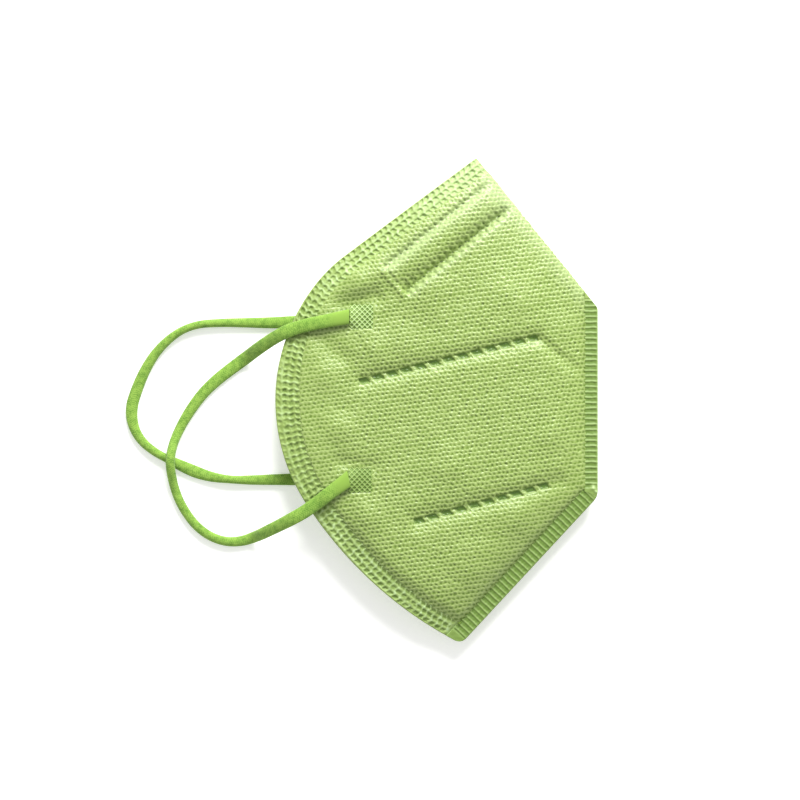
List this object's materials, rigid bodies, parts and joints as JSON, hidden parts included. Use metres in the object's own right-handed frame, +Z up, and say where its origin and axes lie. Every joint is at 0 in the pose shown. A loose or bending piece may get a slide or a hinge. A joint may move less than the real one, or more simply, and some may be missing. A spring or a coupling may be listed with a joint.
{
  "type": "disposable respirator",
  "caption": "Flat-fold disposable respirator, folded in half on its side, with a hidden nose clip, welded seams and elastic ear loops laid loose beside it.",
  "frame": {"origin": "middle of the folded mask's footprint, on the surface that it lies on", "axes": "X from the open face edge to the front seam, Y from the chin to the nose, Z up off the surface"},
  "size_m": [0.1551, 0.1579, 0.0158],
  "materials": {
    "spunbond_fabric": "point-bonded nonwoven",
    "welded_fabric": "ultrasonically welded nonwoven",
    "knitted_elastic": "soft knitted elastic",
    "clip_aluminium": "satin"
  },
  "bodies": {
    "root": {"mask_body": "spunbond_fabric", "nose_clip": "clip_aluminium", "strap_weld_front_upper": "welded_fabric", "strap_weld_front_lower": "welded_fabric", "strap_weld_back_upper": "welded_fabric", "strap_weld_back_lower": "welded_fabric", "ear_loop_front": "knitted_elastic", "ear_loop_back": "knitted_elastic"}
  },
  "joints": []
}
